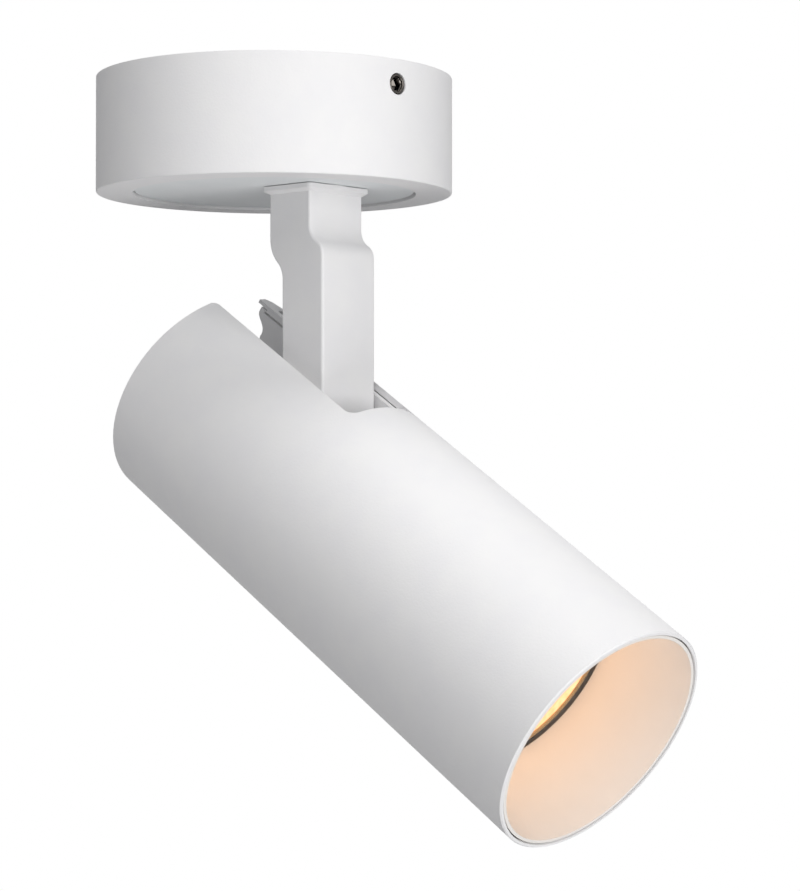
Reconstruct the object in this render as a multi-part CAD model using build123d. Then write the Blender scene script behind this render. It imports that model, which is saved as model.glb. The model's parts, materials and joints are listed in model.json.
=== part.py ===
from build123d import *
import math
import os

# A surface-mounted ceiling spotlight, in millimetres.
# Origin: centre of the canopy on the ceiling plane, +Z up, so the lamp hangs below z = 0.
# The head points forward and down along -Y.  Rest: panned to the front, tilted up from the vertical.

# ---- driving dimensions -------------------------------------------------------------------
canopy_diameter = 90.0
canopy_height = 29.0
canopy_wall = 2.0
canopy_floor = 2.5
canopy_edge_round = 0.4

canopy_rim = 9.15              # width of the canopy's underside round its opening
turntable_gap = 0.4            # radial shadow gap round the plate that fills the opening
turntable_recess = 0.6         # how far its face lies above the canopy's underside
turntable_lip = 1.8            # radial width of the hidden lip that it hangs by
lip_thickness = 1.4
glide_thickness = 0.5
running_gap = 0.05             # between faces that turn on each other
ring_thickness = 1.2
ring_reach = 4.3               # how far the retaining ring reaches over the turntable's lip
ring_screws = 3
boss_diameter = 4.8

plate_diameter = 72.0          # ceiling bracket
plate_thickness = 1.5
mount_spacing = 54.0           # between the two slots for the ceiling screws
mount_slot_width = 4.8
mount_slot_length = 12.0
cable_entry_diameter = 14.0
grub_diameter = 5.3
grub_play = 0.16               # radial shadow gap round a grub screw in the canopy
grub_socket = 3.0
grub_level = 6.0               # below the ceiling
grub_turn = -4.2               # degrees, the grub screws' line against the Y axis

arm_width = 19.0               # across, along X
arm_depth = 14.0               # front to back
arm_wall = 2.0
arm_upper_front = 21.5         # forward distance of the upper front face from the pan axis
arm_lower_front = 25.8         # and of the lower front face
arm_round = 0.7
flange_gap = 0.2               # shadow line between turntable and flange
flange_thickness = 1.1
flange_cone = 0.8              # height of the sloping underside
flange_overhang = 1.3
spigot_diameter = 10.0         # threaded hollow stud on top of the arm
spigot_bore = 7.0
spigot_stand = 5.0             # how far the spigot stands over the turntable
spigot_nut_across = 14.0
spigot_nut_height = 3.0
spigot_washer_diameter = 16.8
spigot_washer_thickness = 0.8
foot_diameter = 16.0           # spacer hidden between flange and turntable

bend_front_top = -38.8         # where the front face starts to step forward
bend_front_angle = 60.0
bend_front_share = 0.56        # share of the bend's radii in the upper, hollow curve
bend_back_top = -41.4
bend_back_angle = 45.0
bend_back_share = 0.6

pivot_drop = 84.2              # tilt axis below the ceiling
rest_tilt = 57.4               # degrees from straight down
tilt_limit = 90.0              # degrees from straight down, at the top stop

head_diameter = 60.0
head_wall = 1.5
slot_after_plate = 2.6         # front end of the slot behind the lamp holder's plate
slot_corner = 2.6
slot_flare = 2.2               # rounding of the slot's two rear corners
pivot_after_slot = 16.8        # tilt axis behind the slot's front end
head_after_pivot = 38.6        # the tube's rear end behind the tilt axis
pivot_offset = 18.8            # tilt axis from the head's centre line

pin_diameter = 4.0
pin_running = 0.05
pin_head_diameter = 7.2
pin_head_height = 2.7
pin_socket = 2.5
pin_collar = 0.9               # stand-off of the pin's head from the left cheek
pin_end = 3.0                  # thread past the nut's seat
hinge_nut_across = 7.0
hinge_nut_height = 2.2
spring_washer_diameter = 7.6
spring_washer_height = 0.75
washer_diameter = 11.0
washer_gap = 0.05
cheek_gap = 0.8                # between the arm's side and the cheek
cheek_thickness = 1.75
cheek_to_slot = 0.15           # between a cheek and the slot's edge
cheek_top = 25.6               # height of the cheeks over the head's centre line
web_top = 6.6
web_thickness = 2.0

front_wall = 1.6               # closes the channel's front end
ear_reach = 6.4                # how far the right-hand cheek's ear stands past the tube's rear end
ear_top_width = 4.6            # of the ear's bent top
ear_top_thickness = 0.9
groove_width = 0.6             # slit along the right-hand cheek
groove_drop = 1.7              # its upper edge under the cheek's top
dash_depth = 0.8               # of the short groove above the slit's rear end
saddle_half = 5.0              # half width of the block between web and tube
saddle_screw_r = 1.5
saddle_head_r = 3.2
saddle_head_h = 1.15
saddle_sink = 0.3              # depth of the screw heads under the tube's skin
saddle_shank = 8.0
saddle_first = 6.0             # first screw in front of the tilt axis
saddle_pitch = 30.0            # between the two screws
rear_inset = 3.4               # the rear cap's seat inside the tube's rear end
rear_cap_thickness = 1.6
plate_screw_inset = 2.7        # from the cheek's inner face
plate_screw_y = -12.2
cap_screws_at = (8.0, 22.0)
holder_screw_x = 10.0
holder_screw_r = 0.95
holder_screw_length = 5.0
holder_screw_head = 4.4
small_screw_r = 1.1            # screws of the plate and of the rear cap
small_screw_head = 4.2
cap_screw_length = 4.0

baffle_rim_width = 0.8
baffle_rim_thickness = 1.9
baffle_depth = 25.4
baffle_throat = 25.2           # inner radius at its inner end
baffle_wall = 0.6
baffle_clearance = 0.35
baffle_set_back = 0.25
baffle_seat_wall = 0.85        # tube wall left round the baffle's rim
baffle_neck_gap = 0.2          # between the tube's bore and the baffle below its rim
leaf_width = 7.0               # springs that hold the baffle
leaf_thickness = 0.3

lamp_face = 26.0               # lens from the head's mouth
lamp_diameter = 50.0
lamp_length = 51.2
lens_diameter = 46.6
lens_recess = 0.35             # of the lens's edge behind the lamp's rim
lens_thickness = 3.0
board_depth = 12.1             # back of the light board from the lamp's face
board_diameter = 35.0
board_thickness = 1.6
contact_spacing = 10.0
contact_length = 6.5
contact_neck = 3.0
contact_head = 4.6
holder_width = 29.0
holder_depth = 17.0
holder_height = 14.2
holder_plate_thickness = 1.5

core_diameter = 1.7            # one insulated core of the lead
core_pitch = 2.2
core_clearance = 0.4           # round the three cores where they pass a wall

block_depth = 16.0             # terminal block, front to back
block_height = 11.0
block_y = 14.0                 # its middle, behind the pan axis
pole_pitch = 9.0
pole_screw_diameter = 3.8
pole_screw_offset = 4.0        # each side of the block's middle line
pole_bore = 2.6
block_bolt_diameter = 2.4

clamp_y = -16.0                # cord clamp
clamp_width = 7.0
clamp_spacing = 19.0           # between its two screws
clamp_foot = 7.0
clamp_height = 5.0
clamp_strap = 1.8              # thickness over the cord
clamp_screw_diameter = 3.0

earth_x, earth_y = 20.0, -19.0
earth_screw_diameter = 3.0
earth_washer = 0.8

stop_diameter = 4.0            # pin that limits the turning of the arm
stop_inset = 3.2               # its circle inside the retaining ring's bore
lead_meet = -15.5              # level at which the fixed and the turning lengths of the lead meet
lead_gap = 0.1                 # between them, so that they turn freely

# ---- worked out ------------------------------------------------------------------------------
canopy_r = canopy_diameter / 2
canopy_in = canopy_r - canopy_wall
canopy_bottom = -canopy_height
floor_top = canopy_bottom + canopy_floor
opening_r = canopy_r - canopy_rim
disc_r = opening_r - turntable_gap
lip_r = disc_r + turntable_lip
disc_bottom = canopy_bottom + turntable_recess
lip_bottom = floor_top + glide_thickness + running_gap
disc_top = lip_bottom + lip_thickness
felt_bottom = disc_top + running_gap
ring_bottom = felt_bottom + glide_thickness
ring_top = ring_bottom + ring_thickness
boss_circle = (lip_r + canopy_in) / 2 + 0.25
ring_in = lip_r - ring_reach
stop_r = ring_in - stop_inset

upper_mid = arm_upper_front - arm_depth / 2
lower_mid = arm_lower_front - arm_depth / 2
flange_top = disc_bottom - flange_gap
flange_bottom = flange_top - flange_thickness
arm_top = flange_bottom - flange_cone
pivot = Vector(0, -lower_mid, -pivot_drop)
arm_end_r = arm_depth / 2

head_r = head_diameter / 2
head_in = head_r - head_wall
baffle_seat_r = head_r - baffle_seat_wall
rim_out = baffle_seat_r - baffle_clearance
rim_in = rim_out - baffle_rim_width
rim_back = baffle_set_back + baffle_rim_thickness - 0.05
neck_r = head_in - baffle_neck_gap
cheek_in = arm_width / 2 + cheek_gap
cheek_out = cheek_in + cheek_thickness
slot_width = 2 * (cheek_out + cheek_to_slot)
plate_screw_x = cheek_in - plate_screw_inset
holder_back = lamp_face + lamp_length + holder_height + 0.3
plate_back = holder_back + holder_plate_thickness
slot_end = plate_back + slot_after_plate
pivot_from_mouth = slot_end + pivot_after_slot
pivot_local = Vector(0, -pivot_offset, pivot_from_mouth)
head_length = pivot_from_mouth + head_after_pivot
bracket_front = plate_back
bracket_rear = head_length - rear_inset
saddle_holes = (pivot_from_mouth - saddle_first, pivot_from_mouth - saddle_first + saddle_pitch)
lens_seat = lamp_face + lens_thickness
board_seat = lamp_face + board_depth
lead_half = core_pitch + core_diameter / 2 + core_clearance


# ---- small shapes --------------------------------------------------------------------------------
def box(x0, x1, y0, y1, z0, z1):
    centre = ((x0 + x1) / 2, (y0 + y1) / 2, (z0 + z1) / 2)
    return Pos(*centre) * Box(x1 - x0, y1 - y0, z1 - z0)


def rod(r, z0, z1, x=0.0, y=0.0):
    return Pos(x, y, (z0 + z1) / 2) * Cylinder(r, z1 - z0)


def ring(r_out, r_in, z0, z1, x=0.0, y=0.0):
    return rod(r_out, z0, z1, x, y) - rod(r_in, z0 - 1, z1 + 1, x, y)


def rod_x(r, x0, x1, y, z):
    return Pos((x0 + x1) / 2, y, z) * Rot(0, 90, 0) * Cylinder(r, x1 - x0)


def rod_y(r, y0, y1, x, z):
    return Pos(x, (y0 + y1) / 2, z) * Rot(90, 0, 0) * Cylinder(r, y1 - y0)


def hexagon(across, z0, z1, x=0.0, y=0.0):
    face = RegularPolygon(across / 2, 6, major_radius=False)
    return Pos(x, y, z0) * extrude(face, z1 - z0)


def turned(points):
    """A body turned about Z from an outline of (radius, height) points."""
    outline = Polyline(*[(r, 0, z) for r, z in points], close=True)
    return revolve(make_face(outline), Axis.Z, 360)


def slab(points, x0, x1):
    """A flat outline of (y, z) points made solid from x0 to x1."""
    outline = Polyline(*[(x0, y, z) for y, z in points], close=True)
    return extrude(make_face(outline), x1 - x0, dir=(1, 0, 0))


def screw(head_d, head_h, shank_d, length, socket=0.0):
    """A pan-head screw: its head stands on z = 0, its shank runs down."""
    head = rod(head_d / 2, 0, head_h)
    head = chamfer(head.edges().sort_by(Axis.Z)[-1], head_h * 0.25)
    body = head + rod(shank_d / 2, -length, 0)
    return body - hexagon(socket or head_d * 0.45, head_h * 0.45, head_h + 1)


def core(points, radii):
    """One insulated core along straight runs joined by tangent arcs."""
    path = FilletPolyline(*points, radius=radii)
    start = Plane(path @ 0, z_dir=path % 0)
    return sweep(start * Circle(core_diameter / 2), path=path)


def cores(points, radii):
    """The three cores of the lead side by side along X."""
    return [core([(x + dx, y, z) for x, y, z in points], radii)
            for dx in (-core_pitch, 0, core_pitch)]


# ---- canopy and what hangs from the ceiling -----------------------------------------------------------
def grub_angle(i):
    return math.radians(-90 + grub_turn + 180 * i)


def along_grub(i, shape):
    """Turn a shape built along +X to the line of grub screw i."""
    return Rot(0, 0, math.degrees(grub_angle(i))) * Pos(0, 0, -grub_level) * shape


def make_canopy():
    shell = rod(canopy_r, canopy_bottom, 0)
    shell = fillet(shell.edges().sort_by(Axis.Z)[0], canopy_edge_round)
    shell -= rod(canopy_in, floor_top, 1)
    for i in range(ring_screws):
        a = math.radians(360 / ring_screws * (i + 0.5) - 90)
        x, y = boss_circle * math.cos(a), boss_circle * math.sin(a)
        shell += rod(boss_diameter / 2, floor_top, ring_bottom, x, y)
        shell -= rod(1.0, floor_top + 0.3, ring_bottom + 1, x, y)
    shell -= rod(opening_r, canopy_bottom - 1, floor_top + 1)
    for i in range(2):
        shell -= along_grub(i, rod_x(grub_diameter / 2, canopy_in - 3, canopy_r + 1, 0, 0))
    return shell


def make_bracket():
    plate = rod(plate_diameter / 2, -plate_thickness, 0)
    tab_out = canopy_in - 0.3
    for i in range(2):
        strap = box(0, tab_out, -8, 8, grub_level - plate_thickness, grub_level)
        tab = box(tab_out - 3.2, tab_out, -7, 7, -5, grub_level)
        tab = (strap + tab) & rod(tab_out, -30, 30)
        tab -= rod_x(grub_diameter / 2 - 0.4, tab_out - 5, tab_out + 1, 0, 0)
        plate += along_grub(i, tab)
    plate -= rod(cable_entry_diameter / 2, -5, 1, 0, -6)
    for side in (-1, 1):
        slot = SlotCenterToCenter(mount_slot_length - mount_slot_width, mount_slot_width)
        plate -= Pos(side * mount_spacing / 2, 0, -5) * extrude(slot, 6)
    return plate


def make_grub_screws():
    made = []
    for i in range(2):
        tip = canopy_in - 4.2
        body = rod_x(grub_diameter / 2 - grub_play, canopy_in - 0.25, canopy_r - 0.2, 0, 0)
        body = fillet(body.edges().sort_by(Axis.X)[-1], 0.4)
        body += rod_x(grub_diameter / 2 - 0.45, tip, canopy_in - 0.25, 0, 0)
        socket = Rot(0, 90, 0) * hexagon(grub_socket, canopy_r - 2.6, canopy_r + 1)
        made.append(along_grub(i, body - socket))
    return made


def poles():
    """The (x, y) place of each clamping screw of the terminal block."""
    return [(i * pole_pitch, block_y + side * pole_screw_offset)
            for i in (-1, 0, 1) for side in (-1, 1)]


def make_terminal_block():
    top, low = -plate_thickness, -plate_thickness - block_height
    half = block_depth / 2
    body = box(-1.5 * pole_pitch, 1.5 * pole_pitch, block_y - half, block_y + half, low, top)
    body = fillet(body.edges().filter_by(Axis.Z), 1.2)
    for x, y in poles():
        body -= rod(pole_screw_diameter / 2 + 0.1, low - 1, low + 3, x, y)
    middle = (top + low) / 2
    for i in (-1, 0, 1):
        for y in (block_y - half, block_y + half):
            body -= rod_y(pole_bore / 2, y - 4, y + 4, i * pole_pitch, middle)
    for x in (-pole_pitch / 2, pole_pitch / 2):
        body -= rod(block_bolt_diameter / 2 + 0.1, low - 1, top + 1, x, block_y)
    return body


def make_terminal_screws():
    low = -plate_thickness - block_height
    made = []
    for x, y in poles():
        body = rod(pole_screw_diameter / 2, low + 1.2, low + 3.0, x, y)
        made.append(body - box(x - 2, x + 2, y - 0.25, y + 0.25, low, low + 1.8))
    return made


def make_block_screws():
    one = Rot(180, 0, 0) * screw(block_bolt_diameter + 1.8, 1.4, block_bolt_diameter, block_height - 0.1)
    low = -plate_thickness - block_height
    return [Pos(x, block_y, low) * one for x in (-pole_pitch / 2, pole_pitch / 2)]


def make_earth_screw():
    seat = -plate_thickness - earth_washer
    body = Rot(180, 0, 0) * screw(2 * earth_screw_diameter, 2.0, earth_screw_diameter, earth_washer)
    washer = ring(earth_screw_diameter * 1.2, earth_screw_diameter / 2, seat, -plate_thickness)
    return Pos(earth_x, earth_y, 0) * (Pos(0, 0, seat) * body + washer)


def make_cord_clamp():
    """A saddle that grips the supply cord where it enters, with a foot each side."""
    top = -plate_thickness
    low = top - clamp_height
    reach = (clamp_spacing + clamp_foot) / 2
    front, rear = clamp_y - clamp_width / 2, clamp_y + clamp_width / 2
    body = box(-reach, reach, front, rear, low, low + clamp_strap)
    for side in (-1, 1):
        x = side * clamp_spacing / 2
        body += box(x - clamp_foot / 2, x + clamp_foot / 2, front, rear, low, top)
        body -= rod(clamp_screw_diameter / 2 + 0.1, low - 1, top + 1, x, clamp_y)
    return body


def make_clamp_screws():
    d = clamp_screw_diameter
    one = Rot(180, 0, 0) * screw(d + 2.2, 1.8, d, clamp_height - 0.1)
    return [Pos(side * clamp_spacing / 2, clamp_y, -plate_thickness - clamp_height) * one
            for side in (-1, 1)]


def make_glide_ring():
    return ring(lip_r - 0.1, opening_r + 0.15, floor_top, floor_top + glide_thickness)


def make_friction_ring():
    return ring(lip_r - 0.1, ring_in + 0.8, felt_bottom, ring_bottom)


def make_retaining_ring():
    body = ring(canopy_in - 0.4, ring_in, ring_bottom, ring_top)
    body += box(-2.2, 2.2, stop_r - 2.4, ring_in + 1, ring_bottom, ring_top)
    for i in range(ring_screws):
        a = math.radians(360 / ring_screws * (i + 0.5) - 90)
        body -= rod(1.35, ring_bottom - 1, ring_top + 1,
                    boss_circle * math.cos(a), boss_circle * math.sin(a))
    return body


def make_ring_screws():
    one = screw(4.4, 1.6, 1.9, 3.0)
    made = []
    for i in range(ring_screws):
        a = math.radians(360 / ring_screws * (i + 0.5) - 90)
        made.append(Pos(boss_circle * math.cos(a), boss_circle * math.sin(a), ring_top) * one)
    return made


def make_canopy_lead():
    """The fixed length of the lead, from the terminal block to the pan axis and down it."""
    y = block_y - block_depth / 2
    z = -plate_thickness - block_height / 2
    end = lead_meet + lead_gap
    made = [core([(0, y + 3.6, z), (0, 0, z), (0, 0, end)], 2.6)]
    for side in (-1, 1):
        pole, x = side * pole_pitch, side * core_pitch
        points = [(pole, y + 3.6, z), (pole, y - 0.6, z), (x, 0, z - 1.5), (x, 0, end)]
        made.append(core(points, [1.2, 2.0]))
    return made


# ---- turntable and arm ---------------------------------------------------------------------------------
def make_turntable():
    body = rod(disc_r, disc_bottom, disc_top)
    body = chamfer(body.edges().sort_by(Axis.Z)[0], 0.25)
    body += rod(lip_r, lip_bottom, disc_top)
    body -= rod(spigot_diameter / 2 + 0.1, disc_bottom - 1, disc_top + 1, 0, -upper_mid)
    body -= rod(stop_diameter / 2 - 0.1, disc_bottom + 1.2, disc_top + 1, 0, -stop_r)
    return body


def make_stop_pin():
    stem = rod(stop_diameter / 2 - 0.15, disc_bottom + 1.3, disc_top, 0, -stop_r)
    return stem + rod(stop_diameter / 2, disc_top, ring_top + 0.8, 0, -stop_r)


def make_spigot_nut():
    low = disc_top + spigot_washer_thickness
    body = hexagon(spigot_nut_across, low, low + spigot_nut_height, 0, -upper_mid)
    return body - rod(spigot_diameter / 2 + 0.05, disc_top - 1, low + 2 * spigot_nut_height, 0, -upper_mid)


def make_spigot_washer():
    return ring(spigot_washer_diameter / 2, spigot_diameter / 2 + 0.15, disc_top,
                disc_top + spigot_washer_thickness, 0, -upper_mid)


def step_line(front, top, angle, share, shift):
    """The stepped face of the arm: two tangent arcs that move it forward by shift."""
    a = math.radians(angle)
    total = shift / (1 - math.cos(a))
    r1, r2 = total * share, total * (1 - share)
    start = (0, -front, top)
    bend = (0, -(front + r1 * (1 - math.cos(a))), top - r1 * math.sin(a))
    half = (0, -(front + r1 * (1 - math.cos(a / 2))), top - r1 * math.sin(a / 2))
    end = (0, -(front + shift), top - total * math.sin(a))
    back = (0, -(front + shift - r2 * (1 - math.cos(a / 2))), end[2] + r2 * math.sin(a / 2))
    return ThreePointArc(start, half, bend), ThreePointArc(bend, back, end), start, end


def arm_side(inset, top, bottom):
    """The arm's outline seen from the side, moved inwards by inset."""
    shift = arm_lower_front - arm_upper_front
    f1, f2, fs, fe = step_line(arm_upper_front - inset, bend_front_top - inset * 0.6,
                               bend_front_angle, bend_front_share, shift)
    b1, b2, bs, be = step_line(arm_upper_front - arm_depth + inset, bend_back_top + inset * 0.4,
                               bend_back_angle, bend_back_share, shift)
    lines = [f1, f2, b1, b2]
    lines.append(Line((0, fs[1], top), fs))
    lines.append(Line((0, bs[1], top), bs))
    lines.append(Line(fe, (0, fe[1], bottom)))
    lines.append(Line(be, (0, be[1], bottom)))
    lines.append(Line((0, fs[1], top), (0, bs[1], top)))
    lines.append(Line((0, fe[1], bottom), (0, be[1], bottom)))
    return make_face(Wire(lines))


def make_arm():
    end = -pivot_drop - arm_end_r
    side = arm_side(0, flange_top, end)
    body = extrude(side, arm_width / 2, both=True, dir=(1, 0, 0))
    long_edges = [e for e in body.edges().filter_by(GeomType.LINE).filter_by(Axis.Z)
                  if abs(abs(e.center().X) - arm_width / 2) < 0.01]
    body = fillet(long_edges, arm_round)
    eye = rod_x(arm_end_r, -arm_width, arm_width, pivot.Y, pivot.Z)
    body &= eye + box(-arm_width, arm_width, pivot.Y - 30, pivot.Y + 30, pivot.Z, 5)
    body += make_flange()
    hollow = arm_side(arm_wall, flange_bottom - 1.5, end - 5)
    body -= extrude(hollow, arm_width / 2 - arm_wall, both=True, dir=(1, 0, 0))
    body += rod(spigot_diameter / 2, flange_top - 1, disc_top + spigot_stand, 0, -upper_mid)
    body -= rod(spigot_bore / 2, flange_bottom - 4, disc_top + spigot_stand + 1, 0, -upper_mid)
    body -= rod_x(pin_diameter / 2, -arm_width, arm_width, pivot.Y, pivot.Z)
    return body


def make_flange():
    w, d = arm_width + 2 * flange_overhang, arm_depth + 2 * flange_overhang
    plate = box(-w / 2, w / 2, -upper_mid - d / 2, -upper_mid + d / 2, flange_bottom, flange_top)
    plate = fillet(plate.edges().filter_by(Axis.Z), 1.2)
    top = Plane((0, -upper_mid, flange_bottom)) * RectangleRounded(w, d, 1.2)
    low = Plane((0, -upper_mid, arm_top)) * RectangleRounded(arm_width + 0.1, arm_depth + 0.1, 0.7)
    cone = loft([top, low])
    foot = rod(foot_diameter / 2, flange_top, disc_bottom, 0, -upper_mid)
    return plate + cone + foot


def make_arm_lead():
    """The turning length of the lead: over the turntable, down the spigot and the hollow arm."""
    down = -(lower_mid - arm_depth / 2 + arm_wall + core_diameter / 2 + 0.35)
    level = disc_top + spigot_stand + 1.6
    points = [(0, 0, lead_meet), (0, 0, level), (0, -upper_mid, level),
              (0, -upper_mid, bend_back_top - 1.0), (0, down, bend_back_top - 9.0),
              (0, down, pivot.Z - 5.2)]
    return cores(points, [2.4, 2.4, 6.0, 6.0])


def make_hinge_pin():
    x1 = cheek_out + pin_collar
    body = rod_x(pin_diameter / 2 - 0.01, -x1, x1 + pin_end, pivot.Y, pivot.Z)
    outer = -cheek_out - washer_gap - 0.15 - pin_head_height
    head = rod_x(pin_head_diameter / 2, outer, outer + pin_head_height, pivot.Y, pivot.Z)
    socket = Rot(0, 90, 0) * hexagon(pin_socket, outer - 0.1, outer + pin_head_height / 2)
    return body + head - Pos(0, pivot.Y, pivot.Z) * socket


def make_hinge_washers():
    one = rod_x(washer_diameter / 2, arm_width / 2, cheek_in - washer_gap, pivot.Y, pivot.Z)
    one -= rod_x(pin_diameter / 2 + pin_running, 0, 20, pivot.Y, pivot.Z)
    return [one, mirror(one, Plane.YZ)]


def make_hinge_spring_washer():
    x0 = cheek_out + washer_gap
    body = rod_x(spring_washer_diameter / 2, x0, x0 + spring_washer_height, pivot.Y, pivot.Z)
    return body - rod_x(pin_diameter / 2 + 0.1, 0, 2 * x0, pivot.Y, pivot.Z)


def make_hinge_nut():
    x0 = cheek_out + washer_gap + spring_washer_height
    body = Pos(x0, pivot.Y, pivot.Z) * Rot(0, 90, 0) * hexagon(hinge_nut_across, 0, hinge_nut_height)
    return body - rod_x(pin_diameter / 2 + 0.02, 0, 2 * x0, pivot.Y, pivot.Z)


# ---- head, built pointing straight down with its mouth at z = 0 ------------------------------------------
def place(shape):
    """Move a shape of the head from the straight-down pose to the rest pose."""
    move = Pos(*pivot) * Rot(-rest_tilt, 0, 0) * Pos(*(-pivot_local))
    if isinstance(shape, (list, tuple)):
        return [move * s for s in shape]
    return move * shape


def head_slot():
    """The cutter for the slot that runs from its rounded front end out of the rear end."""
    long = head_length - slot_end + 30
    face = RectangleRounded(slot_width, 2 * long, slot_corner)
    return extrude(Plane((0, 0, slot_end + long), x_dir=(1, 0, 0), z_dir=(0, -1, 0)) * face, head_r + 10)


def make_head_tube():
    body = rod(head_r, 0, head_length)
    body = chamfer(body.edges().sort_by(Axis.Z)[0], 0.3)
    body = chamfer(body.edges().sort_by(Axis.Z)[-1], 0.3)
    body -= rod(head_in, -1, head_length + 1)
    body -= rod(baffle_seat_r, -1, baffle_set_back + baffle_rim_thickness)
    body -= head_slot()
    flare = box(0, slot_flare, -head_r - 5, 0, head_length - slot_flare, head_length + 1)
    flare -= rod_y(slot_flare, -head_r - 6, 1, slot_flare, head_length - slot_flare)
    flare = Pos(slot_width / 2, 0, 0) * flare
    body -= [flare, mirror(flare, Plane.YZ)]
    for z in saddle_holes:
        body -= rod_y(saddle_screw_r + 0.55, head_in - 2, head_r + 1, 0, z)
        body -= countersunk(0.15, z)
        body -= rod_y(saddle_head_r + 0.15, head_r - saddle_sink, head_r + 1, 0, z)
    return body


def countersunk(extra, z):
    """The cone of a saddle screw's head, widened by extra."""
    cone = Cone(saddle_screw_r + 0.4 + extra, saddle_head_r + extra, saddle_head_h)
    return Pos(0, head_r - saddle_sink - saddle_head_h / 2, z) * Rot(-90, 0, 0) * cone


def make_hinge_bracket():
    """A channel that lines the slot: web, two cheeks, a front wall and a saddle on the tube."""
    web = box(-cheek_out, cheek_out, -web_top, -web_top + web_thickness, bracket_front, bracket_rear)
    body = web
    for side in (-1, 1):
        rear = head_length - 1.2
        outline = [(-cheek_top, bracket_front), (-cheek_top, rear), (-web_top, rear),
                   (-web_top + web_thickness, bracket_rear), (-web_top + web_thickness, bracket_front)]
        x0 = cheek_in if side > 0 else -cheek_out
        cheek = slab(outline, x0, x0 + cheek_thickness)
        if side > 0:
            cheek = far_cheek(x0)
        body += cheek
    body += box(-cheek_out, cheek_out, -cheek_top + 2.2, -web_top, bracket_front,
                bracket_front + front_wall)
    saddle = box(-saddle_half, saddle_half, -web_top + web_thickness, head_r, saddle_holes[0] - 6,
                 bracket_rear)
    saddle -= box(-saddle_half - 1, saddle_half + 1, 2, head_in - 7, saddle_holes[0] + 4,
                  bracket_rear - 6)
    body += saddle & rod(head_in - 0.05, 0, head_length)
    for z in saddle_holes:
        body -= rod_y(saddle_screw_r + 0.1, head_in - saddle_shank - 4, head_in + 1, 0, z)
    for y in cap_screws_at:
        body -= rod(small_screw_r + 0.05, bracket_rear - cap_screw_length, bracket_rear + 1, 0, y)
    for side in (-1, 1):
        body -= rod(small_screw_r + 0.05, bracket_front - 1, bracket_front + 3,
                    side * plate_screw_x, plate_screw_y)
    body -= rod_x(pin_diameter / 2 + pin_running, -20, 20, -pivot_offset, pivot_from_mouth)
    notch = bracket_front + front_wall
    return body - box(-lead_half, lead_half, -web_top - 1, 0, notch, notch + 3.9)


def far_cheek(x0):
    """The right-hand cheek: its rear edge is an S curve up to an ear with a bent top, over a slit."""
    tip = head_length + ear_reach
    foot = head_length + 1.2
    lines = [Line((x0, -cheek_top, bracket_front), (x0, -cheek_top, tip)),
             Spline((x0, -cheek_top, tip), (x0, -cheek_top + 1.5, tip - 1.6),
                    (x0, -cheek_top + 2.7, tip - 1.5), (x0, -cheek_top + 5.0, tip - 4.0),
                    (x0, -cheek_top + 8.0, foot)),
             Line((x0, -cheek_top + 8.0, foot), (x0, -web_top + web_thickness, bracket_rear)),
             Line((x0, -web_top + web_thickness, bracket_rear),
                  (x0, -web_top + web_thickness, bracket_front)),
             Line((x0, -web_top + web_thickness, bracket_front), (x0, -cheek_top, bracket_front))]
    cheek = extrude(make_face(Wire(lines)), cheek_thickness, dir=(1, 0, 0))
    outer, foot = x0 + ear_top_width, head_length + 0.5
    top = make_face(Polyline((x0, -cheek_top, tip), (x0 + 0.5 * ear_top_width, -cheek_top, tip + 0.4),
                             (x0 + 0.82 * ear_top_width, -cheek_top, tip - 1.2),
                             (outer, -cheek_top, tip - 4.2), (outer, -cheek_top, foot),
                             (x0, -cheek_top, foot), close=True))
    cheek += extrude(top, ear_top_thickness, dir=(0, 1, 0))
    high = -cheek_top + groove_drop
    slit = box(x0 - 1, x0 + cheek_thickness + 1, high, high + groove_width, pivot_from_mouth, tip - 3.2)
    return cheek - slit - box(x0 - 1, x0 + dash_depth, high - 0.7, high - 0.4, tip - 3.8, tip - 1.2)


def make_saddle_screws():
    made = []
    for z in saddle_holes:
        under = head_r - saddle_sink - saddle_head_h
        body = countersunk(0, z) + rod_y(saddle_screw_r, under - saddle_shank, under + 0.1, 0, z)
        socket = Pos(0, 0, z) * Rot(-90, 0, 0) * hexagon(2.0, under + 0.4, head_r + 1)
        made.append(body - socket)
    return made


def make_holder_plate():
    body = rod(head_in - 0.15, holder_back, plate_back)
    for side in (-1, 1):
        body -= rod(holder_screw_r + 0.25, holder_back - 1, plate_back + 1, side * holder_screw_x, 0)
        body -= rod(small_screw_r + 0.05, holder_back - 1, plate_back + 1,
                    side * plate_screw_x, plate_screw_y)
    return body - box(-lead_half, lead_half, -4, 4, holder_back - 1, plate_back + 1)


def make_plate_screws():
    one = screw(small_screw_head, 1.5, 2 * small_screw_r, front_wall + holder_plate_thickness - 0.1)
    return [Pos(side * plate_screw_x, plate_screw_y, bracket_front + front_wall) * one
            for side in (-1, 1)]


def make_lamp_holder():
    low = holder_back - holder_height
    body = box(-holder_width / 2, holder_width / 2, -holder_depth / 2, holder_depth / 2, low, holder_back)
    body = fillet(body.edges().filter_by(Axis.Z), 4.0)
    for side in (-1, 1):
        slot = extrude(Rot(0, 0, 90) * SlotCenterToCenter(3.0, contact_head + 1.0), contact_length + 1.6)
        body -= Pos(side * contact_spacing / 2, 0, low - 1) * slot
        body -= rod(holder_screw_r + 0.05, holder_back - holder_screw_length, holder_back + 1,
                    side * holder_screw_x, 0)
    body -= box(-lead_half, lead_half, -3.2, 3.2, holder_back - 3, holder_back + 1)
    return body


def make_holder_screws():
    one = screw(holder_screw_head, 1.6, 2 * holder_screw_r, holder_screw_length)
    return [Pos(side * holder_screw_x, 0, plate_back) * one for side in (-1, 1)]


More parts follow.
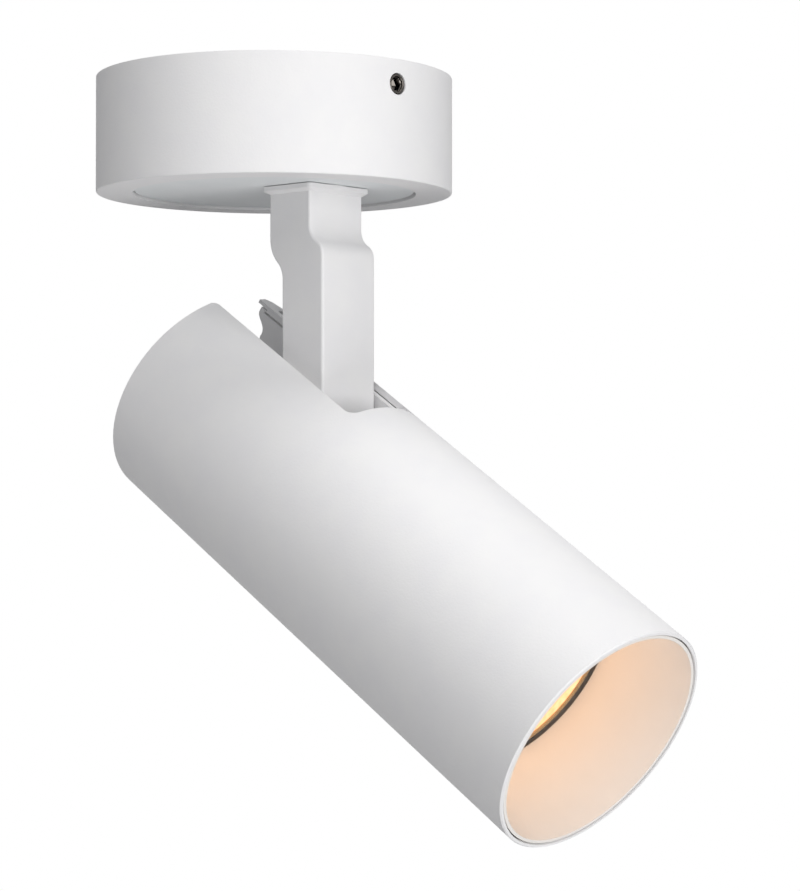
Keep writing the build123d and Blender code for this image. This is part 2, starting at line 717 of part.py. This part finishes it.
def make_lamp_housing():
    """The reflector lamp's finned body: a cone with a rim for the lens and a stub for its contacts."""
    z = lamp_face
    r = lamp_diameter / 2
    end = z + lamp_length
    board_r = board_diameter / 2
    body = turned([(lens_diameter / 2, z), (r - 0.6, z), (r, z + 0.8), (r, z + 3.4), (r - 1.2, z + 4.2),
                   (r * 0.86, z + 16), (r * 0.66, z + 31), (r * 0.56, z + 36), (r * 0.54, end),
                   (0, end), (0, end - 14), (r * 0.40, end - 14), (r * 0.50, z + 30),
                   (board_r - 4, board_seat), (board_r + 0.1, board_seat), (board_r + 0.3, z + 8),
                   (lens_diameter / 2 - 1, lens_seat), (lens_diameter / 2, lens_seat)])
    for i in range(24):
        fin = box(r * 0.78, r + 2, -0.75, 0.75, z + 7, z + 29)
        body -= Rot(0, 0, 15 * i) * fin
    return body


def make_lamp_lens():
    z = lamp_face
    r = lens_diameter / 2 - 0.1
    return turned([(0, z + 0.05), (r * 0.6, z + 0.15), (r, z + lens_recess), (r, lens_seat), (0, lens_seat)])


def make_led_board():
    z = board_seat - board_thickness
    body = rod(board_diameter / 2, z, board_seat)
    for i in range(3):
        body += Rot(0, 0, 120 * i) * box(5.9, 9.1, -1.6, 1.6, z - 0.8, z)
    return body


def make_lamp_contacts():
    z0 = lamp_face + lamp_length
    z2 = z0 + contact_length
    z1 = z2 - 2.0
    return [rod(contact_neck / 2, z0, z1, x) + rod(contact_head / 2, z1, z2, x)
            for x in (-contact_spacing / 2, contact_spacing / 2)]


def make_head_lead():
    """The head's length of the lead, from the lamp holder to the mouth of the arm."""
    z0 = holder_back - 2.5
    z1 = pivot_from_mouth - arm_end_r - 1.6
    points = [(0, 0, z0), (0, 0, plate_back + 3.4), (0, -pivot_offset, plate_back + 3.4),
              (0, -pivot_offset, z1)]
    return cores(points, [2.4, 2.4])


def make_rear_cap():
    """The plate that closes the head's rear end below the channel."""
    z0, z1 = bracket_rear, bracket_rear + rear_cap_thickness
    body = rod(head_in - 0.2, z0, z1)
    body &= box(-head_r, head_r, -web_top + web_thickness + 0.2, head_r, z0, z1)
    for y in cap_screws_at:
        body -= rod(small_screw_r + 0.1, z0 - 1, z1 + 1, 0, y)
    return body


def make_rear_cap_screws():
    one = screw(small_screw_head, 1.3, 2 * small_screw_r, cap_screw_length)
    return [Pos(0, y, bracket_rear + rear_cap_thickness) * one for y in cap_screws_at]


# ---- baffle -----------------------------------------------------------------------------------------
def make_baffle():
    z0 = baffle_set_back
    return turned([(rim_in, z0), (rim_out - 0.15, z0), (rim_out, z0 + 0.15), (rim_out, rim_back),
                   (neck_r, rim_back), (baffle_throat + baffle_wall, baffle_depth),
                   (baffle_throat, baffle_depth)])


def make_baffle_springs():
    """Three bowed leaves on the cone, whose backs press on the tube."""
    z0, z1 = baffle_depth * 0.32, baffle_depth * 0.8
    r0, r1 = cone_radius(z0) + 0.15, cone_radius(z1) + 0.15
    back = head_in - 0.1 - leaf_thickness
    middle = (z0 + z1) / 2
    outline = [(r0, z0), (back, middle), (r1, z1), (r1 + leaf_thickness, z1),
               (back + leaf_thickness, middle), (r0 + leaf_thickness, z0)]
    leaf = turned(outline) & box(0, head_r, -leaf_width / 2, leaf_width / 2, 0, baffle_depth)
    return [Rot(0, 0, 120 * i + 30) * leaf for i in range(3)]


def cone_radius(z):
    """The outer radius of the baffle's cone at height z."""
    share = (z - rim_back) / (baffle_depth - rim_back)
    return neck_r + (baffle_throat + baffle_wall - neck_r) * share


# ---- writing ----------------------------------------------------------------------------------------
def solids_of(shape):
    if isinstance(shape, (list, tuple)):
        return [s for item in shape for s in solids_of(item)]
    return list(shape.solids())


def save(name, shape):
    found = solids_of(shape)
    made = found[0] if len(found) == 1 else Compound(children=found)
    export_step(made, f"parts/{name}.step")


os.makedirs("parts", exist_ok=True)

save("ceiling_bracket", make_bracket())
save("canopy", make_canopy())
save("grub_screws", make_grub_screws())
save("terminal_block", make_terminal_block())
save("terminal_screws", make_terminal_screws())
save("block_screws", make_block_screws())
save("earth_screw", make_earth_screw())
save("cord_clamp", make_cord_clamp())
save("clamp_screws", make_clamp_screws())
save("glide_ring", make_glide_ring())
save("friction_ring", make_friction_ring())
save("retaining_ring", make_retaining_ring())
save("ring_screws", make_ring_screws())
save("canopy_lead", make_canopy_lead())

save("turntable", make_turntable())
save("stop_pin", make_stop_pin())
save("arm", make_arm())
save("spigot_nut", make_spigot_nut())
save("spigot_washer", make_spigot_washer())
save("arm_lead", make_arm_lead())
save("hinge_pin", make_hinge_pin())
save("hinge_washers", make_hinge_washers())
save("hinge_spring_washer", make_hinge_spring_washer())
save("hinge_nut", make_hinge_nut())

save("head_tube", place(make_head_tube()))
save("hinge_bracket", place(make_hinge_bracket()))
save("saddle_screws", place(make_saddle_screws()))
save("holder_plate", place(make_holder_plate()))
save("plate_screws", place(make_plate_screws()))
save("lamp_holder", place(make_lamp_holder()))
save("holder_screws", place(make_holder_screws()))
save("lamp_housing", place(make_lamp_housing()))
save("lamp_lens", place(make_lamp_lens()))
save("led_board", place(make_led_board()))
save("lamp_contacts", place(make_lamp_contacts()))
save("head_lead", place(make_head_lead()))
save("rear_cap", place(make_rear_cap()))
save("rear_cap_screws", place(make_rear_cap_screws()))

save("baffle", place(make_baffle()))
save("baffle_springs", place(make_baffle_springs()))
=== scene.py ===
import json
import math

import bpy
import numpy as np
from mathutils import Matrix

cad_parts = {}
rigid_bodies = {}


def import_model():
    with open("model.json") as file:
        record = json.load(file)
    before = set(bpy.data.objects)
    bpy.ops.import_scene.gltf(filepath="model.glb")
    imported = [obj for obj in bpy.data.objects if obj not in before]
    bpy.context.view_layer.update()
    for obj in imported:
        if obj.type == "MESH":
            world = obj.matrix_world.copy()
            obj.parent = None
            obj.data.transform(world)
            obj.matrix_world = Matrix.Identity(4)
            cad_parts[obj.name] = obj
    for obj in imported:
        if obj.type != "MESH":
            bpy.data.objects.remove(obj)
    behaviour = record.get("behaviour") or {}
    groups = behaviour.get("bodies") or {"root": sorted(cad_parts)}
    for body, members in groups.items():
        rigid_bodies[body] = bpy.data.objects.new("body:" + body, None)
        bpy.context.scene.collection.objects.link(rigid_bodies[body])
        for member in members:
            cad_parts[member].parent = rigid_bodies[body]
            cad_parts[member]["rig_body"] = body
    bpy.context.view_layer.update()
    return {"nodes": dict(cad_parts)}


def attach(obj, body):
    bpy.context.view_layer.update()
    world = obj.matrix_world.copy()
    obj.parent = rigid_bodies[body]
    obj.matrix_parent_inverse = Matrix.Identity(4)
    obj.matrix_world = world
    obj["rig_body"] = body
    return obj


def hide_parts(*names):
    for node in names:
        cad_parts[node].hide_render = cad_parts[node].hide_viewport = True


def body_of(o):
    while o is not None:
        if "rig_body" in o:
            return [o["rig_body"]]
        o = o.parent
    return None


# A surface-mounted ceiling spotlight in white powder coat, its lamp lit, in metres.
# +Z is up to the ceiling, and the head points forward and down along -Y.

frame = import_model()
nodes = frame["nodes"]
MM = 0.001


# ---- camera: the photograph's own, fitted to the canopy and the head -------------------------------
PHOTO_WIDTH = 800
FOCAL_PIXELS = 2562.8
SENSOR_MM = 36.0
CAMERA_PLACE = (-0.46265, -0.45526, -0.10453)
CAMERA_TURN = math.radians(48.27)      # from +Y towards +X
CAMERA_RISE = math.radians(1.054)      # above the horizon


def add_camera():
    lens = bpy.data.cameras.new("camera")
    lens.sensor_fit = "HORIZONTAL"
    lens.sensor_width = SENSOR_MM
    lens.lens = FOCAL_PIXELS / PHOTO_WIDTH * SENSOR_MM
    lens.clip_start = 0.01
    camera = bpy.data.objects.new("camera", lens)
    camera.location = CAMERA_PLACE
    camera.rotation_euler = (math.pi / 2 + CAMERA_RISE, 0, -CAMERA_TURN)
    bpy.context.scene.collection.objects.link(camera)
    bpy.context.scene.camera = camera


# ---- materials ---------------------------------------------------------------------------------------
def linear(code):
    """An sRGB hex colour such as "F2F1EE" as linear RGBA."""
    part = np.array([int(code[i:i + 2], 16) for i in (0, 2, 4)]) / 255
    low, high = part / 12.92, ((part + 0.055) / 1.055) ** 2.4
    return (*np.where(part <= 0.04045, low, high), 1.0)


def add_node(tree, kind, inputs=None, **settings):
    """Add a node, set its properties, and set its inputs or link them to other nodes' outputs."""
    node = tree.nodes.new(kind)
    for name, value in settings.items():
        setattr(node, name, value)
    for key, value in (inputs or {}).items():
        if isinstance(value, bpy.types.NodeSocket):
            tree.links.new(value, node.inputs[key])
        else:
            node.inputs[key].default_value = value
    return node


def start(name, base, roughness, metallic=0.0, **more):
    """A material with its tree, its shader and the object's coordinates in metres."""
    material = bpy.data.materials.new(name)
    material.use_nodes = True
    tree = material.node_tree
    shader = tree.nodes["Principled BSDF"]
    shader.inputs["Base Color"].default_value = linear(base)
    shader.inputs["Roughness"].default_value = roughness
    shader.inputs["Metallic"].default_value = metallic
    for key, value in more.items():
        shader.inputs[key.replace("_", " ")].default_value = value
    place = add_node(tree, "ShaderNodeTexCoord").outputs["Object"]
    return material, tree, shader, place


def noise(tree, place, size_mm, detail=2.0):
    """Noise whose lumps are about size_mm across, from 0 to 1."""
    return add_node(tree, "ShaderNodeTexNoise", {"Vector": place, "Scale": 1 / (size_mm * MM),
                                                 "Detail": detail}).outputs["Fac"]


MIX_FACTOR, MIX_FIRST, MIX_SECOND, MIX_RESULT = 0, 6, 7, 2     # a mix node's sockets for colours


def mix_colour(tree, amount, first, second):
    """Run from the first hex colour to the second as amount goes from 0 to 1."""
    node = add_node(tree, "ShaderNodeMix", data_type="RGBA")
    tree.links.new(amount, node.inputs[MIX_FACTOR])
    node.inputs[MIX_FIRST].default_value = linear(first)
    node.inputs[MIX_SECOND].default_value = linear(second)
    return node.outputs[MIX_RESULT]


def spread(tree, value, low, high, out_low=0.0, out_high=1.0):
    """Map value from the range low..high to out_low..out_high, held at both ends."""
    return add_node(tree, "ShaderNodeMapRange", {"Value": value, "From Min": low, "From Max": high,
                                                 "To Min": out_low, "To Max": out_high}).outputs[0]


def relief(tree, shader, height, depth_mm):
    """Bump the surface by height, 0 to 1, times depth_mm."""
    bump = add_node(tree, "ShaderNodeBump", {"Height": height, "Strength": 1.0,
                                             "Distance": depth_mm * MM})
    tree.links.new(bump.outputs["Normal"], shader.inputs["Normal"])


def powder_coat(name, light, dark, roughness, depth_mm):
    """Sprayed and stoved polyester powder: matt, a fine sandy grain over a soft orange peel.

    The grain is 0.5 mm, the peel 2.2 mm and half as high, and the faint clouds in the colour 9 mm.
    """
    material, tree, shader, place = start(name, light, roughness)
    sand = noise(tree, place, 0.5)
    peel = noise(tree, place, 2.2)
    both = add_node(tree, "ShaderNodeMath", {0: peel, 1: 0.5, 2: sand}, operation="MULTIPLY_ADD")
    relief(tree, shader, both.outputs[0], depth_mm)
    cloud = spread(tree, noise(tree, place, 9.0, 3.0), 0.35, 0.65)
    tree.links.new(mix_colour(tree, cloud, dark, light), shader.inputs["Base Color"])
    tree.links.new(spread(tree, sand, 0.3, 0.7, roughness - 0.06, roughness + 0.06),
                   shader.inputs["Roughness"])
    return material


def plated(name, base, roughness):
    """Plated steel, bare spring steel or turned brass: bright, with fine drawn marks."""
    material, tree, shader, place = start(name, base, roughness, metallic=1.0)
    stretch = add_node(tree, "ShaderNodeMapping", {"Vector": place, "Scale": (1.0, 0.15, 1.0)})
    marks = noise(tree, stretch.outputs[0], 0.6, 4.0)
    tree.links.new(spread(tree, marks, 0.3, 0.7, roughness * 0.8, roughness * 1.3),
                   shader.inputs["Roughness"])
    relief(tree, shader, marks, 0.01)
    return material


def galvanised(name):
    """Hot-dipped sheet steel: dull silver with a spangle of crystals about 3 mm across."""
    material, tree, shader, place = start(name, "B9BCBE", 0.42, metallic=1.0)
    cells = add_node(tree, "ShaderNodeTexVoronoi", {"Vector": place, "Scale": 1 / (3.0 * MM)})
    shade = spread(tree, cells.outputs["Color"], 0.0, 1.0)
    tree.links.new(mix_colour(tree, shade, "A3A7AA", "C6C9CB"), shader.inputs["Base Color"])
    return material


def moulded(name, base, dark, roughness, size_mm=0.8, depth_mm=0.015):
    """Moulded plastic with the fine grain of a sparked tool."""
    material, tree, shader, place = start(name, base, roughness)
    texture = noise(tree, place, size_mm)
    relief(tree, shader, texture, depth_mm)
    tree.links.new(mix_colour(tree, spread(tree, texture, 0.3, 0.7), dark, base),
                   shader.inputs["Base Color"])
    return material


def cast_with_painted_warm_glow(name):
    """Die-cast aluminium in a warm tan with a fine cast grain; the tan is painted light, standing in
    for the lamp's warm glow on the housing's rim.
    """
    material, tree, shader, place = start(name, "B79C78", 0.42, metallic=0.35)
    grain = noise(tree, place, 0.7, 4.0)
    relief(tree, shader, grain, 0.03)
    tree.links.new(mix_colour(tree, spread(tree, grain, 0.3, 0.7), "AC9069", "C0A682"),
                   shader.inputs["Base Color"])
    return material


def felted(name):
    """Pressed wool felt: dark grey, fuzzy and quite without gloss."""
    material, tree, shader, place = start(name, "55565A", 0.95, Sheen_Weight=0.4)
    fibre = noise(tree, place, 0.3, 6.0)
    relief(tree, shader, fibre, 0.15)
    tree.links.new(mix_colour(tree, spread(tree, fibre, 0.3, 0.7), "3E3F43", "6C6D71"),
                   shader.inputs["Base Color"])
    return material


def lamp_glow(name):
    """The lamp's pressed plastic front with a pebbled face, lit from behind in warm white."""
    material, tree, shader, place = start(name, "A88450", 0.3, IOR=1.49)
    pebble = noise(tree, place, 1.6, 1.0)
    glow = mix_colour(tree, spread(tree, pebble, 0.35, 0.65), "FFBB84", "FFD1A2")
    tree.links.new(glow, shader.inputs["Emission Color"])
    shader.inputs["Emission Strength"].default_value = 1.12
    relief(tree, shader, pebble, 0.05)
    return material


WHITE = powder_coat("white_powder_coat", "EFEEEE", "EDECED", 0.62, 0.044)
DISC_WHITE = powder_coat("turntable_powder_coat", "EAECED", "E7EAEB", 0.55, 0.012)
BAFFLE_WHITE = powder_coat("baffle_matt_paint", "EDE9E4", "EBE7E2", 0.75, 0.008)
ZINC = plated("zinc_plated_steel", "C3C5C6", 0.3)
# The screws are polished nickel; their dark base colour is a painted reflection, the dark surroundings
# seen in the metal.
NICKEL_PAINTED_DARK_REFLECTION = plated("nickel_steel_painted_dark_reflection", "56524E", 0.1)
SPRING = plated("tempered_spring_steel", "9FA2A6", 0.28)
BRASS = plated("turned_brass", "D9B869", 0.25)
SHEET = galvanised("galvanised_sheet_steel")
# The lamp housing's warm tan is painted light: the lamp's warm glow on its rim.
WARM_GLOW_CAST = cast_with_painted_warm_glow("aluminium_with_painted_warm_glow")
BLOCK = moulded("polyamide_terminal_block", "F0EFE8", "E6E5DD", 0.5)
CLAMP = moulded("polyamide_cord_clamp", "D5D4CF", "CBCAC4", 0.5)
# The glide ring is black acetal; its dark colour also paints the shade in the gap round the turntable.
GLIDE_AND_GAP_SHADE = moulded("black_acetal_glide_ring_and_gap_shade", "2E2F31", "26272A", 0.4)
NYLON = moulded("black_nylon_washer", "3B3B3D", "323234", 0.45)
CERAMIC = moulded("steatite_lamp_holder", "EDE9DF", "E0DBCF", 0.55, 1.5, 0.03)
BOARD = moulded("light_board_white_mask", "F2EFE2", "E8E5D6", 0.4)
FELT = felted("pressed_wool_felt")
GLOW = lamp_glow("lit_frosted_lamp_front")
SLEEVE = moulded("silicone_lead_sleeve", "D9D6D2", "CFCCC7", 0.6, 0.6, 0.02)

FINISH = {
    WHITE: ["canopy", "arm", "head_tube", "hinge_bracket", "rear_cap"],
    DISC_WHITE: ["turntable"],
    BAFFLE_WHITE: ["baffle"],
    ZINC: ["terminal_screws", "block_screws", "clamp_screws", "ring_screws", "stop_pin", "spigot_nut",
           "spigot_washer", "hinge_pin", "hinge_nut", "plate_screws", "holder_screws", "lamp_contacts",
           "rear_cap_screws"],
    NICKEL_PAINTED_DARK_REFLECTION: ["grub_screws", "saddle_screws"],
    SPRING: ["hinge_spring_washer", "baffle_springs"],
    BRASS: ["earth_screw"],
    SHEET: ["ceiling_bracket", "retaining_ring", "holder_plate"],
    WARM_GLOW_CAST: ["lamp_housing"],
    BLOCK: ["terminal_block"],
    CLAMP: ["cord_clamp"],
    GLIDE_AND_GAP_SHADE: ["glide_ring"],
    NYLON: ["hinge_washers"],
    CERAMIC: ["lamp_holder"],
    BOARD: ["led_board"],
    FELT: ["friction_ring"],
    GLOW: ["lamp_lens"],
    SLEEVE: ["canopy_lead", "arm_lead", "head_lead"],
}


def finish_nodes():
    for material, names in FINISH.items():
        for name in names:
            mesh = nodes[name].data
            mesh.materials.clear()
            mesh.materials.append(material)


# ---- surfaces of revolution --------------------------------------------------------------------------
TILT_AXIS = np.array((0.0, -18.8, -84.2)) * MM
REST_TILT = math.radians(57.4)         # of the head from straight down
MOUTH_DROP = 112.6                     # mm from the head's mouth to the tilt axis, along the head
AXIS_OFFSET = 18.8                     # mm from the head's centre line to the tilt axis
STEPS = 240                            # points round a turned piece
SHARP_FROM = math.radians(40)          # edges that bend more than this are shaded sharp
PINHOLE = 0.05                         # mm, the radius left open at the middle of an outline


def head_to_row(points_mm):
    """Points in mm of the head hanging straight down, its mouth at z = 0, moved to the rest pose."""
    y, z = points_mm[:, 1] + AXIS_OFFSET, points_mm[:, 2] - MOUTH_DROP
    c, s = math.cos(REST_TILT), math.sin(REST_TILT)
    return np.stack([points_mm[:, 0], y * c + z * s, z * c - y * s], 1) * MM + TILT_AXIS


def lathe(name, outline, node, material, place, closed=False, widen=None, ripple=None):
    """Turn an outline of (radius, height) in mm about an axis, in place of a CAD node.

    Point (i, j) is outline point i at angle t = 2 pi j / STEPS: (R cos t, R sin t, z + ripple(r, t)),
    where R = r widen(r, t).  place moves the points, in mm, to the row frame, in metres.
    """
    r, z = np.array(outline, dtype=float).T
    turn = np.arange(STEPS) * 2 * math.pi / STEPS
    radius, angle = np.meshgrid(r, turn, indexing="ij")
    height = np.repeat(z[:, None], STEPS, axis=1)
    if ripple is not None:
        height = height + ripple(radius, angle)
    if widen is not None:
        radius = radius * widen(radius, angle)
    points = np.stack([radius * np.cos(angle), radius * np.sin(angle), height], -1).reshape(-1, 3)
    rows = len(r) if closed else len(r) - 1
    i, j = np.meshgrid(np.arange(rows), np.arange(STEPS), indexing="ij")
    i2, j2 = (i + 1) % len(r), (j + 1) % STEPS
    quads = np.stack([i * STEPS + j, i * STEPS + j2, i2 * STEPS + j2, i2 * STEPS + j], -1)
    faces = quads.reshape(-1, 4).tolist()
    if not closed:
        faces += [list(range(STEPS))[::-1], list(range((len(r) - 1) * STEPS, len(r) * STEPS))]
    mesh = bpy.data.meshes.new(name)
    mesh.from_pydata(place(points).tolist(), [], faces)
    mesh.shade_smooth()
    mesh.set_sharp_from_angle(angle=SHARP_FROM)
    mesh.materials.append(material)
    piece = bpy.data.objects.new(name, mesh)
    bpy.context.scene.collection.objects.link(piece)
    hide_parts(node)
    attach(piece, body_of(nodes[node])[0])


def bend(centre, radius, first, last, points=6):
    """Points along a round edge: from angle first to last, in degrees, about centre."""
    t = np.radians(np.linspace(first, last, points))
    return [(centre[0] + radius * np.cos(a), centre[1] + radius * np.sin(a)) for a in t]


# The baffle in mm: radii, and depths from the head's mouth.
BAFFLE_RIM_IN, BAFFLE_RIM_OUT = 28.0, 28.8
BAFFLE_FRONT, BAFFLE_RIM_BACK, BAFFLE_END = 0.25, 2.1, 25.4
BAFFLE_NECK, BAFFLE_THROAT, BAFFLE_WALL = 28.3, 25.2, 0.6
EDGE = 0.12                            # radius of its rounded edges


def add_baffle():
    """The white cone inside the head: a rim with rounded edges on a long, slightly tapering funnel."""
    rim = bend((BAFFLE_RIM_IN + EDGE, BAFFLE_FRONT + EDGE), EDGE, 180, 270)
    rim += bend((BAFFLE_RIM_OUT - EDGE, BAFFLE_FRONT + EDGE), EDGE, 270, 360)
    outside = [(BAFFLE_RIM_OUT, BAFFLE_RIM_BACK), (BAFFLE_NECK, BAFFLE_RIM_BACK),
               (BAFFLE_THROAT + BAFFLE_WALL, BAFFLE_END)]
    end = bend((BAFFLE_THROAT + EDGE, BAFFLE_END - EDGE), EDGE, 90, 180)
    lathe("baffle_cone", rim + outside + end, "baffle", BAFFLE_WHITE, head_to_row, closed=True)


# The lamp's front in mm: radii, and depths from the head's mouth.
LENS_FACE, LENS_RADIUS, LENS_SEAT = 26.0, 23.2, 29.0
LENS_MIDDLE_RECESS, LENS_EDGE_RECESS = 0.05, 0.35
LENS_POINTS = 110                      # from the middle of the dome to its edge
RING_PITCH, RING_DEPTH = 1.3, 0.05     # of the pressed rings
RING_WAVE, RING_LOBES = 0.3, 3         # share by which the rings vary round the lens, and how often
RING_MIDDLE, RING_MARGIN = 0.2, 0.4    # left plain at the middle and at the edge


def add_lens():
    """The lamp's front: a low dome with shallow pressed rings on it.

    At radius r and angle t its depth from the mouth is
    F + m + (e - m) (r / R)^2 + d (1 - cos(2 pi r / p)) (1 + w cos(n t)),
    with the face F, the recesses m and e, and the rings' depth d, pitch p, wave w and lobes n.
    """
    r = np.linspace(PINHOLE, LENS_RADIUS, LENS_POINTS)
    recess = LENS_MIDDLE_RECESS + (LENS_EDGE_RECESS - LENS_MIDDLE_RECESS) * (r / LENS_RADIUS) ** 2
    outline = list(zip(r, LENS_FACE + recess)) + [(LENS_RADIUS, LENS_SEAT), (PINHOLE, LENS_SEAT)]

    def rings(radius, angle):
        inside = (radius < LENS_RADIUS - RING_MARGIN) & (radius > RING_MIDDLE)
        wave = 1 + RING_WAVE * np.cos(RING_LOBES * angle)
        return inside * RING_DEPTH * (1 - np.cos(2 * math.pi * radius / RING_PITCH)) * wave

    lathe("lamp_front", outline, "lamp_lens", GLOW, head_to_row, ripple=rings)


# The grub screws in mm: radii, and lengths from their outer face.
GRUB_AXIS_LEVEL = -6.0                 # of their line below the ceiling
GRUB_TURN = math.radians(-4.2)         # their line against the Y axis
GRUB_FACE = 44.8                       # from the pan axis
GRUB_RADIUS, GRUB_TIP_RADIUS = 2.49, 2.2
GRUB_WALL_LENGTH, GRUB_LENGTH = 2.05, 6.0
GRUB_TIP_CHAMFER = 0.5
LIP = 0.38                             # radius of the rounded lip round the socket
FUNNEL_RADIUS, FUNNEL_TOP, FUNNEL_FOOT = 1.8, 0.55, 0.7
SOCKET_HALF, SOCKET_DEPTH = 1.5, 2.4   # half the width across flats, and the depth of its flat walls
DRILL_DEPTH = 0.7                      # of the drilled end beyond the socket
HEXAGON_LIMIT = 1.65                   # radii below this are drawn out to a hexagon


def add_grub_screws():
    """Two socket screws: a rounded lip, a short funnel, and a hexagonal socket with a drilled end."""
    lip = bend((GRUB_RADIUS - LIP, -LIP), LIP, 0, 150, 12)
    funnel = [(FUNNEL_RADIUS, -FUNNEL_TOP), (SOCKET_HALF, -FUNNEL_FOOT)]
    socket = [(SOCKET_HALF, -SOCKET_DEPTH), (PINHOLE, -SOCKET_DEPTH - DRILL_DEPTH)]
    back = [(PINHOLE, -GRUB_LENGTH), (GRUB_TIP_RADIUS - GRUB_TIP_CHAMFER, -GRUB_LENGTH),
            (GRUB_TIP_RADIUS, -GRUB_LENGTH + GRUB_TIP_CHAMFER), (GRUB_TIP_RADIUS, -GRUB_WALL_LENGTH),
            (GRUB_RADIUS, -GRUB_WALL_LENGTH)]

    def hexagon(radius, angle):
        corner = 1 / np.cos(np.mod(angle, math.pi / 3) - math.pi / 6)
        return np.where(radius < HEXAGON_LIMIT, corner, 1.0)

    for i, turn in enumerate((GRUB_TURN - math.pi / 2, GRUB_TURN + math.pi / 2)):
        out = np.array((math.cos(turn), math.sin(turn), 0.0))
        side = np.array((-math.sin(turn), math.cos(turn), 0.0))

        def place(points, out=out, side=side):
            level = (points[:, 1:2] + GRUB_AXIS_LEVEL) * np.array((0.0, 0.0, 1.0))
            return ((points[:, 2:3] + GRUB_FACE) * out + points[:, 0:1] * side + level) * MM

        lathe(f"grub_screw_{i}", back + lip + funnel + socket, "grub_screws", NICKEL_PAINTED_DARK_REFLECTION, place,
              widen=hexagon)


# ---- studio ------------------------------------------------------------------------------------------
AIR_STRENGTH = 0.15                    # of the plain light from all round
FLOOR_LEVEL, FLOOR_REACH, FLOOR_SIDES = -1.5, 4.4, 64
LAMP_MIDDLE = np.array((0.0, -0.04, -0.09))
SOFTBOX_SIZE, SOFTBOX_DISTANCE = 0.8, 1.35
# Softboxes round the lamp: name, watts, and the direction to each: right of the camera's line,
# towards the camera, and up.
SOFTBOXES = {
    "key": (7.8, (0.73, 0.68, 0.0)),
    "front_top": (4.4, (0.0, 0.8, 0.6)),
    "left_top": (0.7, (-0.61, 0.2, 0.77)),
    "overhead": (9.2, (0.0, 0.1, 1.0)),
    "front": (2.6, (0.0, 1.0, 0.0)),
    "under": (6.0, (0.1, 0.6, -0.79)),
}


def seen_white(tree, plain, white):
    """White where the camera, a reflection or a refraction looks at it, plain for all other light."""
    path = add_node(tree, "ShaderNodeLightPath")
    first = add_node(tree, "ShaderNodeMath", {0: path.outputs["Is Camera Ray"],
                                              1: path.outputs["Is Glossy Ray"]}, operation="MAXIMUM")
    through = path.outputs["Is Transmission Ray"]
    seen = add_node(tree, "ShaderNodeMath", {0: first.outputs[0], 1: through}, operation="MAXIMUM")
    mix = add_node(tree, "ShaderNodeMixShader", {0: seen.outputs[0], 1: plain, 2: white})
    return mix.outputs[0]


def add_world(strength):
    world = bpy.data.worlds.new("studio_air")
    world.use_nodes = True
    tree = world.node_tree
    plain = tree.nodes["Background"]
    plain.inputs["Color"].default_value = linear("F4F6FA")
    plain.inputs["Strength"].default_value = strength
    white = add_node(tree, "ShaderNodeBackground", {"Color": (1, 1, 1, 1), "Strength": 1.0})
    tree.links.new(seen_white(tree, plain.outputs[0], white.outputs[0]),
                   tree.nodes["World Output"].inputs["Surface"])
    bpy.context.scene.world = world


def add_floor():
    """A round pale floor well below the lamp."""
    turn = np.linspace(0, 2 * math.pi, FLOOR_SIDES, endpoint=False)
    ring = np.stack([FLOOR_REACH * np.cos(turn), FLOOR_REACH * np.sin(turn),
                     np.full(FLOOR_SIDES, FLOOR_LEVEL)], 1)
    mesh = bpy.data.meshes.new("floor")
    mesh.from_pydata(ring.tolist(), [], [list(range(FLOOR_SIDES))])
    floor = bpy.data.objects.new("floor", mesh)
    bpy.context.scene.collection.objects.link(floor)
    mesh.materials.append(start("pale_floor", "F2F2F2", 0.9)[0])


def add_softbox(name, watts, way):
    """A square area light that faces the lamp; way is right of, towards and above the camera."""
    right, toward, up = np.array(way) / np.linalg.norm(way)
    s, c = math.sin(CAMERA_TURN), math.cos(CAMERA_TURN)
    out = np.array((right * c - toward * s, -right * s - toward * c, up))
    light = bpy.data.lights.new(name, "AREA")
    light.size = SOFTBOX_SIZE
    light.energy = watts
    lamp = bpy.data.objects.new(name, light)
    lamp.location = LAMP_MIDDLE + out * SOFTBOX_DISTANCE
    lamp.rotation_euler = (math.acos(out[2]), 0, math.atan2(out[0], -out[1]))
    bpy.context.scene.collection.objects.link(lamp)


add_camera()
finish_nodes()
add_baffle()
add_lens()
add_grub_screws()
add_world(AIR_STRENGTH)
add_floor()
for name, (watts, way) in SOFTBOXES.items():
    add_softbox(name, watts, way)
bpy.context.scene.view_settings.view_transform = "Standard"
